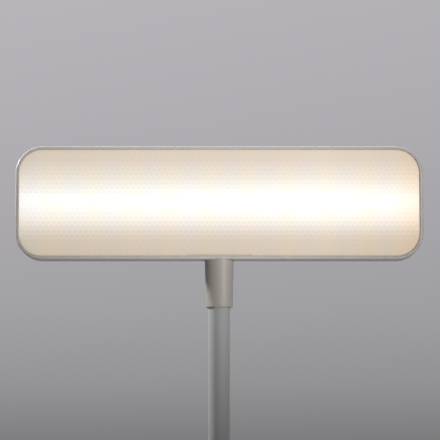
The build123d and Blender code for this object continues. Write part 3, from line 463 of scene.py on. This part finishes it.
band_stops = [
    (0.0, colour("C4B7A6")), (0.15, colour("CCBFB0")), (0.226, colour("D7CDC3")),
    (0.34, colour("F2EBE3")), (0.415, colour("F9F7F3")), (0.49, colour("FFFFFF")),
    (0.56, colour("FFFFFF")), (0.605, colour("F7F5F1")), (0.756, colour("E3DBD1")),
    (0.908, colour("D3C6B9")), (1.0, colour("D1C5B3")),
]
end_stops = [
    (0.0, colour("EEEDEB")), (0.05, colour("F3F2EF")), (0.3, colour("F8F7F5")),
    (0.55, colour("FAF9F8")), (0.75, colour("FFFEFD")), (0.94, colour("FAF6F1")),
    (1.0, colour("FAECDC")),
]
sheet_material = lit_sheet(
    "clear_prismatic_sheet",
    lambda tree: add_node(tree, "ShaderNodeTexCoord").outputs["Object"], 1.06,
)
prism_material = lit_sheet(
    "clear_prismatic_sheet_cells",
    lambda tree: add_node(
        tree, "ShaderNodeAttribute", attribute_name="prism_middle"
    ).outputs["Vector"],
    1.08,
)
paint(sheet_material, "diffuser")

# %% [markdown]
# Modelling is done with the same operators that a hand would use in the window. Two helpers keep it
# short: one clears the selection, because an operator acts on everything that is selected, and one
# finishes a piece by moving its place into its mesh, so that its object stays at the origin.

# %% Helpers for modelling
def clear_selection():
    if bpy.context.object and bpy.context.object.mode != "OBJECT":
        bpy.ops.object.mode_set(mode="OBJECT")
    bpy.ops.object.select_all(action="DESELECT")


def only(piece):
    """Selects this piece alone and makes it the active one."""
    clear_selection()
    piece.select_set(True)
    bpy.context.view_layer.objects.active = piece


def pick(piece, kind, test):
    """In edit mode, selects the faces or edges whose test is true of their middle and direction."""
    bpy.ops.mesh.select_all(action="DESELECT")
    bpy.ops.mesh.select_mode(type="FACE" if kind == "faces" else "EDGE")
    bpy.ops.object.mode_set(mode="OBJECT")
    mesh = piece.data
    if kind == "faces":
        for face in mesh.polygons:
            face.select = test(piece.matrix_world @ face.center, face.normal)
    else:
        for edge in mesh.edges:
            a, b = (piece.matrix_world @ mesh.vertices[v].co for v in edge.vertices)
            edge.select = test((a + b) / 2, (b - a).normalized())
    bpy.ops.object.mode_set(mode="EDIT")


def finish_piece(piece, name, material, smooth=30):
    """Names a piece, moves its place into its mesh, smooths it and gives it its material."""
    only(piece)
    bpy.ops.object.transform_apply(location=True, rotation=True, scale=True)
    bpy.ops.object.shade_smooth_by_angle(angle=math.radians(smooth))
    piece.name = name
    paint(material, name)
    return piece


def own_copy(piece, name, shift):
    """A copy with a mesh of its own, moved by shift."""
    copy = piece.copy()
    copy.data = piece.data.copy()
    copy.data.transform(Matrix.Translation(shift))
    copy.name = name
    scene.collection.objects.link(copy)
    return copy


# %% [markdown]
# The sleeve and the wire run the whole length of the neck, which bends at eighteen joints. A bend
# can be shared between two bodies only, so each is cut into one span per joint, from the middle of
# one steel link to the middle of the next. Neighbouring spans meet end to end there. A span is an
# open cylinder whose upright edges are subdivided into rings, and a Solidify modifier gives the tube
# its wall. The inside ones are modelled once and copied upwards. Each span's place is baked into its
# mesh, and the sleeve and wire nodes are hidden.
#
# One joint, the last but one, is left out of this. With all joints at their limits the shared bend
# can't be worked out there, and the span would fly off. So that span is two stiff halves, one on
# each link, and the lower one has a slightly slimmer tuck that reaches up inside the upper one.
# Turned by 12 degrees the halves still overlap, so no gap opens.

# %% Neck: spans of sleeve and wire
def tube(bottom, top, radius, wall, sides, rings):
    """An upright tube round the neck's axis, or a solid rod if wall is 0."""
    clear_selection()
    bpy.ops.mesh.primitive_cylinder_add(
        vertices=sides, radius=radius, depth=top - bottom, end_fill_type="NOTHING" if wall else "NGON",
        location=(neck_x, neck_y, (bottom + top) / 2),
    )
    piece = bpy.context.object
    bpy.ops.object.mode_set(mode="EDIT")
    pick(piece, "edges", lambda middle, way: abs(way.z) > 0.9)
    bpy.ops.mesh.subdivide(number_cuts=rings)
    bpy.ops.object.mode_set(mode="OBJECT")
    if wall:
        shell = piece.modifiers.new("wall", "SOLIDIFY")
        shell.thickness = wall
        shell.offset = -1.0
        shell.use_even_offset = True
        bpy.ops.object.modifier_apply(modifier="wall")
    return piece


sleeve_low, sleeve_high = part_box("neck_sleeve")
wire_low, wire_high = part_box("neck_wire")
link_pitch = (pivots[-1].z - pivots[0].z) / (len(pivots) - 1)
span_edges = [pivots[0].z - link_pitch / 2 + link_pitch * step for step in range(len(pivots) + 1)]
sleeve_radius = (sleeve_high.x - sleeve_low.x) / 2
wire_radius = (wire_high.x - wire_low.x) / 2
last_step = len(pivots) - 1
stiff_step = last_step - 1
tuck = 1.0 * MM
tuck_depth = 0.06 * MM


def bend_spans(pieces, node):
    """Bakes each span's place into its mesh, and hides the node that the spans stand for."""
    for step, piece in pieces.items():
        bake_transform(piece)
        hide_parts(node)


def inside_spans(first_inside, prefix):
    """The span of the second joint, and its copies for the joints above it, below the stiff one."""
    spans = {1: first_inside}
    for step in range(2, stiff_step):
        shift = Vector((0, 0, span_edges[step] - span_edges[1]))
        spans[step] = own_copy(first_inside, f"{prefix}_{step + 1:02d}", shift)
    return spans


def stiff_halves(prefix, radius, wall, sides, material, node):
    """Two halves that meet at the stiff joint, each riding on its own link."""
    joint = neck_joints[stiff_step]
    middle = pivots[stiff_step].z
    lower = tube(span_edges[stiff_step], middle - tuck, radius, wall, sides, 1)
    inner = tube(middle - 2 * tuck, middle + tuck, radius - tuck_depth, wall, sides, 1)
    only(lower)
    inner.select_set(True)
    bpy.ops.object.join()
    upper = tube(middle - tuck, span_edges[stiff_step + 1], radius, wall, sides, 1)
    for piece, label, body in ((lower, "lower", joint["parent"]), (upper, "upper", joint["child"])):
        finish_piece(piece, f"{prefix}_{stiff_step + 1:02d}_{label}", material)
        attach(piece, body)
        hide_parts(node)
    return [lower, upper]


sleeve_wall = 1.2 * MM
sleeve_rings = 11
last_name = f"{len(pivots):02d}"
sleeve_first = tube(sleeve_low.z, span_edges[1], sleeve_radius, sleeve_wall, 48, 2 * sleeve_rings)
sleeve_second = tube(span_edges[1], span_edges[2], sleeve_radius, sleeve_wall, 48, sleeve_rings)
sleeve_last = tube(span_edges[-2], sleeve_high.z, sleeve_radius, sleeve_wall, 48, 2 * sleeve_rings)
finish_piece(sleeve_first, "sleeve_span_01", sleeve_silicone)
finish_piece(sleeve_second, "sleeve_span_02", sleeve_silicone)
finish_piece(sleeve_last, "sleeve_span_" + last_name, sleeve_silicone)
sleeve_spans = {0: sleeve_first, **inside_spans(sleeve_second, "sleeve_span"), last_step: sleeve_last}
bend_spans(sleeve_spans, "neck_sleeve")
sleeve_halves = stiff_halves(
    "sleeve_span", sleeve_radius, sleeve_wall, 48, sleeve_silicone, "neck_sleeve"
)
print("sleeve spans that bend:", len(sleeve_spans))

# %% [markdown]
# The wire's first span starts at the plug inside the clip and turns up into the neck, and that
# shape is already in the engineering model. So this span is a merged copy of it, bisected into
# rings where it has to bend and cut off at the top of the span. The rest are plain rods.

# %% Neck: the wire
def merged_copy(node, name):
    """A copy of an engineering node as one connected mesh."""
    piece = bpy.data.objects[node].copy()
    piece.data = piece.data.copy()
    piece.parent = None
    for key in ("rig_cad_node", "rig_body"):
        del piece[key]
    scene.collection.objects.link(piece)
    only(piece)
    piece.name = name
    bpy.ops.object.mode_set(mode="EDIT")
    bpy.ops.mesh.select_all(action="SELECT")
    bpy.ops.mesh.remove_doubles(threshold=0.001 * MM)
    bpy.ops.object.mode_set(mode="OBJECT")
    return piece


wire_first = merged_copy("neck_wire", "wire_span_01")
bpy.ops.object.mode_set(mode="EDIT")
wire_rings = 8
for ring in range(wire_rings + 1):
    cut = span_edges[0] + (span_edges[1] - span_edges[0]) * ring / wire_rings
    top_cut = ring == wire_rings
    bpy.ops.mesh.select_all(action="SELECT")
    bpy.ops.mesh.bisect(
        plane_co=(neck_x, neck_y, cut), plane_no=(0, 0, 1), clear_outer=top_cut, use_fill=top_cut
    )
bpy.ops.object.mode_set(mode="OBJECT")
finish_piece(wire_first, "wire_span_01", insulation)
wire_second = tube(span_edges[1], span_edges[2], wire_radius, 0, 20, wire_rings)
wire_last = tube(span_edges[-2], wire_high.z, wire_radius, 0, 20, 3 * wire_rings)
finish_piece(wire_second, "wire_span_02", insulation)
finish_piece(wire_last, "wire_span_" + last_name, insulation)
wire_spans = {0: wire_first, **inside_spans(wire_second, "wire_span"), last_step: wire_last}
bend_spans(wire_spans, "neck_wire")
wire_halves = stiff_halves("wire_span", wire_radius, 0, 20, insulation, "neck_wire")
print("wire spans that bend:", len(wire_spans), "faces in the first:", len(wire_first.data.polygons))

# %% [markdown]
# The hinge's torsion spring has one leg on each tail. When the clip is squeezed, one leg stays with
# the casing, the other turns with the jaw, and the coil between them winds up. Here the spring is a
# merged copy of its engineering node, with its place baked into its mesh, and the node is hidden.

# %% Hinge: the torsion spring
spring = merged_copy("torsion_spring", "wound_spring")
finish_piece(spring, "wound_spring", drawn, smooth=50)
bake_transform(spring)
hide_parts("torsion_spring")

# %% [markdown]
# The front of the panel's sheet is moulded with small six-sided prisms, 2.7 mm across, each a flat
# pyramid with its tip cut off. One prism starts as a six-sided cylinder, and its front face is
# drawn in and its neighbour is copied half a step aside. Two Array modifiers then fill the window,
# and the prisms that would cross the window's rounded outline are deleted. Every prism stores the
# place of its own middle, which the light of the sheet reads.

# %% Panel: the prisms
prism_pitch = 2.7 * MM
prism_row = prism_pitch * math.sqrt(3) / 2
prism_rise = 0.3 * MM
prism_radius = prism_pitch / math.sqrt(3) - 0.04 * MM
columns = int(2 * window_half_width / prism_pitch) + 1
row_pairs = int(window_half_height / prism_row) + 1
clear_selection()
bpy.ops.mesh.primitive_cylinder_add(
    vertices=6, radius=prism_radius, depth=prism_rise, rotation=(math.pi / 2, 0, 0),
    location=(
        panel_middle.x - prism_pitch * (columns - 0.5) / 2, sheet_low.y - prism_rise / 2,
        panel_middle.z - prism_row * (2 * row_pairs - 1) / 2,
    ),
)
prisms = bpy.context.object
bpy.ops.object.transform_apply(location=True, rotation=True, scale=True)
bpy.ops.object.mode_set(mode="EDIT")
pick(prisms, "faces", lambda middle, way: way.y < -0.9)
bpy.ops.transform.resize(value=(0.74, 1, 0.74))
bpy.ops.mesh.select_all(action="SELECT")
bpy.ops.mesh.duplicate()
bpy.ops.transform.translate(value=(prism_pitch / 2, 0, prism_row))
bpy.ops.object.mode_set(mode="OBJECT")
for axis, count, step in ((0, columns, prism_pitch), (2, row_pairs, 2 * prism_row)):
    rows = prisms.modifiers.new("rows", "ARRAY")
    rows.use_relative_offset = False
    rows.use_constant_offset = True
    rows.constant_offset_displace = [step if place == axis else 0 for place in range(3)]
    rows.count = count
    bpy.ops.object.modifier_apply(modifier=rows.name)
print("prisms before trimming:", len(prisms.data.vertices) // 12)


# %% [markdown]
# The rows of prisms are cut to the window's rounded outline, whole prisms only. Each prism also
# stores its own middle, so that its material shows one even tone over the whole prism.

# %% Panel: trim the prisms to the window and store their middles
def outside_window(point, margin):
    """True if a point is nearer than margin to the window's rounded outline, or past it."""
    across = abs(point.x - panel_middle.x) - (window_half_width - window_corner)
    up = abs(point.z - panel_middle.z) - (window_half_height - window_corner)
    beyond = math.hypot(max(across, 0), max(up, 0)) + min(max(across, up), 0)
    return beyond > window_corner - margin


corners_each = 12
points = [vertex.co.copy() for vertex in prisms.data.vertices]
middles = []
for first in range(0, len(points), corners_each):
    group = points[first:first + corners_each]
    middles.append(sum(group, Vector()) / corners_each)
middle_of = prisms.data.attributes.new("prism_middle", "FLOAT_VECTOR", "POINT")
for index in range(len(points)):
    middle_of.data[index].vector = middles[index // corners_each]
bpy.ops.object.mode_set(mode="EDIT")
bpy.ops.mesh.select_all(action="DESELECT")
bpy.ops.mesh.select_mode(type="VERT")
bpy.ops.object.mode_set(mode="OBJECT")
for vertex in prisms.data.vertices:
    vertex.select = outside_window(middles[vertex.index // corners_each], prism_radius)
bpy.ops.object.mode_set(mode="EDIT")
bpy.ops.mesh.delete(type="VERT")
bpy.ops.object.mode_set(mode="OBJECT")
finish_piece(prisms, "panel_prisms", prism_material, smooth=5)
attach(prisms, "head")
print("prisms kept:", len(prisms.data.vertices) // corners_each)

# %% [markdown]
# The pad that the clip stands on is moulded silicone with round-edged ribs, so that it doesn't
# slip. A plate with rounded corners comes from a cube whose upright edges are bevelled. One rib is
# a long cube whose bottom edges are bevelled, and an Array modifier repeats it along the plate.

# %% Clip: ribbed foot
foot_low, foot_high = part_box("foot_pad")
foot_size = foot_high - foot_low
rib_height = 0.5 * MM
clear_selection()
bpy.ops.mesh.primitive_cube_add(
    size=1, scale=(foot_size.x, foot_size.y, foot_size.z - rib_height),
    location=((foot_low.x + foot_high.x) / 2, (foot_low.y + foot_high.y) / 2, (foot_high.z + rib_height) / 2),
)
plate = bpy.context.object
bpy.ops.object.transform_apply(location=True, rotation=True, scale=True)
bpy.ops.object.mode_set(mode="EDIT")
pick(plate, "edges", lambda middle, way: abs(way.z) > 0.9)
bpy.ops.mesh.bevel(offset=2.9 * MM, segments=8, affect="EDGES")
bpy.ops.object.mode_set(mode="OBJECT")

rib_pitch = 4.0 * MM
rib_count = int((foot_size.y - 2 * rib_pitch) / rib_pitch) + 1
clear_selection()
bpy.ops.mesh.primitive_cube_add(
    size=1, scale=(foot_size.x - 6 * MM, 2 * MM, 2 * rib_height),
    location=(0, -rib_pitch * (rib_count - 1) / 2, foot_low.z + rib_height),
)
ribs = bpy.context.object
bpy.ops.object.transform_apply(location=True, rotation=True, scale=True)
bpy.ops.object.mode_set(mode="EDIT")
pick(ribs, "edges", lambda middle, way: middle.z < foot_low.z + 0.1 * MM)
bpy.ops.mesh.bevel(offset=0.3 * MM, segments=3, affect="EDGES")
bpy.ops.object.mode_set(mode="OBJECT")
repeat = ribs.modifiers.new("repeat", "ARRAY")
repeat.use_relative_offset = False
repeat.use_constant_offset = True
repeat.constant_offset_displace = (0, rib_pitch, 0)
repeat.count = rib_count
bpy.ops.object.modifier_apply(modifier="repeat")
finish_piece(plate, "foot_plate", pad_silicone)
finish_piece(ribs, "foot_ribs", pad_silicone)
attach(plate, "jaw")
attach(ribs, "jaw")
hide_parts("foot_pad")
print("ribs under the foot:", rib_count)

# %% [markdown]
# A finger tells the two keys apart by a mark moulded on each: one raised dot for power, and two
# short bars for the light's tone. A dot starts as a low cylinder whose top edge is bevelled to a
# dome.

# %% Clip: raised marks on the keys
def raised_mark(name, body, place, size):
    """A low rounded mark, size wide, long and high, standing on a key's dished top."""
    clear_selection()
    bpy.ops.mesh.primitive_cylinder_add(vertices=32, radius=0.5, depth=1, location=place)
    mark = bpy.context.object
    mark.scale = size
    bpy.ops.object.transform_apply(location=True, rotation=True, scale=True)
    bpy.ops.object.mode_set(mode="EDIT")
    top = place[2] + size[2] / 2
    pick(mark, "edges", lambda middle, way: middle.z > top - 0.01 * MM)
    bpy.ops.mesh.bevel(offset=0.3 * MM, segments=4, affect="EDGES")
    bpy.ops.object.mode_set(mode="OBJECT")
    finish_piece(mark, name, key_abs, smooth=60)
    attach(mark, body)
    return mark


for key, body in (("power_button", "power_key"), ("tone_button", "tone_key")):
    key_low, key_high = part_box(key)
    dish_floor = key_high.z - 0.7 * MM
    middle_x, middle_y = (key_low.x + key_high.x) / 2, (key_low.y + key_high.y) / 2
    if key == "power_button":
        raised_mark("power_mark", body, (middle_x, middle_y, dish_floor), (2.4 * MM, 2.4 * MM, 0.8 * MM))
    else:
        for side, label in ((-1, "left"), (1, "right")):
            place = (middle_x + side * 1.3 * MM, middle_y, dish_floor)
            raised_mark(f"tone_mark_{label}", body, place, (1.1 * MM, 3.6 * MM, 0.8 * MM))
print("keys marked")

# %% [markdown]
# The studio is plain: a large pale floor, and a world that does two jobs. To the camera it is a
# grey backdrop with painted shade that darkens it downwards, and painted light that makes it a
# little brighter on the left. To everything else it is an even soft light. The direction of a ray
# stands for the place on a backdrop far away, so no card stands behind the lamp to be seen edge on
# from the side.

# %% Studio: floor and world
clear_selection()
bpy.ops.mesh.primitive_circle_add(vertices=96, radius=7, fill_type="NGON", location=(0, 0, -0.5 * MM))
floor = bpy.context.object
floor.name = "studio_floor"
floor_material, floor_tree, floor_shader = start_material("pale_studio_floor", {"Roughness": 0.8})
floor_grain, floor_cloud = grain_pair(floor_tree, 3 * MM, 400 * MM)
floor_tone = add_node(
    floor_tree, "ShaderNodeMix", {0: floor_cloud, 6: colour("C9C8C9"), 7: colour("CECDCE")},
    data_type="RGBA",
)
floor_tree.links.new(floor_tone.outputs[2], floor_shader.inputs["Base Color"])
paint(floor_material, "studio_floor")

world = bpy.data.worlds.new("studio_world")
scene.world = world
world.use_nodes = True
sky = world.node_tree
sky.nodes.clear()
toward = add_node(sky, "ShaderNodeTexCoord").outputs["Generated"]
sides = add_node(sky, "ShaderNodeSeparateXYZ", {0: toward})
# Painted shade: the backdrop seen by the camera darkens towards the floor through this ramp.
rise = add_node(sky, "ShaderNodeMapRange", {0: sides.outputs[2], 1: 0.0, 2: 0.25})
backdrop = add_node(sky, "ShaderNodeValToRGB", {0: rise.outputs[0]})
set_stops(backdrop, [
    (0.06, colour("767577")), (0.12, colour("868587")), (0.18, colour("949395")),
    (0.3, colour("A1A0A3")), (0.42, colour("A8A6AA")), (0.6, colour("B0AEB2")), (0.85, colour("B7B5B9")),
])
# Painted light: the backdrop seen by the camera is a little brighter on the left than on the right.
painted_side_light = add_node(sky, "ShaderNodeMapRange", {0: sides.outputs[0], 1: -0.1, 2: 0.1, 3: 1.02, 4: 0.97})
seen = add_node(sky, "ShaderNodeBackground", {"Color": backdrop.outputs[0], "Strength": painted_side_light.outputs[0]})
soft = add_node(sky, "ShaderNodeBackground", {"Color": colour("7B7C7E"), "Strength": 1.0})
rays = add_node(sky, "ShaderNodeLightPath").outputs["Is Camera Ray"]
either = add_node(sky, "ShaderNodeMixShader", {0: rays, 1: soft.outputs[0], 2: seen.outputs[0]})
add_node(sky, "ShaderNodeOutputWorld", {"Surface": either.outputs[0]})
scene.view_settings.view_transform = "Standard"

# %% [markdown]
# One soft box and three soft spots shape the lamp. The box overhead draws the bright line along the
# top of the panel. The right spot puts the long highlight on the collar and the neck, the left spot
# catches the panel's edge from behind, and a weak fill from low in front lifts the shade.

# %% Studio: lights
def aimed_light(data, place, target):
    """Put a light into the scene, turned from its place to its target."""
    lamp = bpy.data.objects.new(data.name, data)
    scene.collection.objects.link(lamp)
    lamp.location = place
    lamp.rotation_euler = (Vector(target) - Vector(place)).to_track_quat("-Z", "Y").to_euler()


def soft_box(name, place, target, size, power):
    """A rectangular area light."""
    data = bpy.data.lights.new(name, "AREA")
    data.shape = "RECTANGLE"
    data.size, data.size_y = size
    data.energy = power
    aimed_light(data, place, target)


def soft_spot(name, place, target, radius, power, size):
    """A spot whose light falls off softly from its middle to radius, round the target."""
    data = bpy.data.lights.new(name, "SPOT")
    reach = (Vector(target) - Vector(place)).length
    data.spot_size = 2 * math.atan(radius / reach)
    data.spot_blend = 1.0
    data.shadow_soft_size = size
    data.energy = power
    aimed_light(data, place, target)


lit_point = (0, 0, panel_middle.z)
panel_top = (0, 0, 0.45)
soft_box("overhead_box", (0, 0.25, 1.25), lit_point, size=(1.2, 0.7), power=8.0)
soft_spot("right_spot", (1.13, -1.4, 0.62), panel_top, radius=0.16, power=85, size=0.05)
soft_spot("low_fill", (0.1, -0.5, 0.05), panel_top, radius=0.15, power=7, size=0.08)
soft_spot("left_spot", (-1.25, 0.45, 1.1), (0, 0, 0.43), radius=0.16, power=190, size=0.12)

# %% [markdown]
# The camera stands 1.25 m in front of the panel, a little below it, and looks up with a long lens,
# so that the panel keeps its true proportions. It is placed by its distance and its height angle
# from the point that it looks at.

# %% Camera
look_up = math.radians(6.4)
camera_distance = 1.247
looked_at = Vector((0.0004, panel_low.y, panel_middle.z - 9.0 * MM))
camera_data = bpy.data.cameras.new("main_camera")
camera_data.lens = 200
camera_data.sensor_width = 36
camera = bpy.data.objects.new("main_camera", camera_data)
scene.collection.objects.link(camera)
line_of_sight = Vector((0, math.cos(look_up), math.sin(look_up)))
camera.location = looked_at - camera_distance * line_of_sight
camera.rotation_euler = (looked_at - camera.location).to_track_quat("-Z", "Y").to_euler()
scene.camera = camera
print("camera stands at, mm:", [round(v / MM) for v in camera.location])
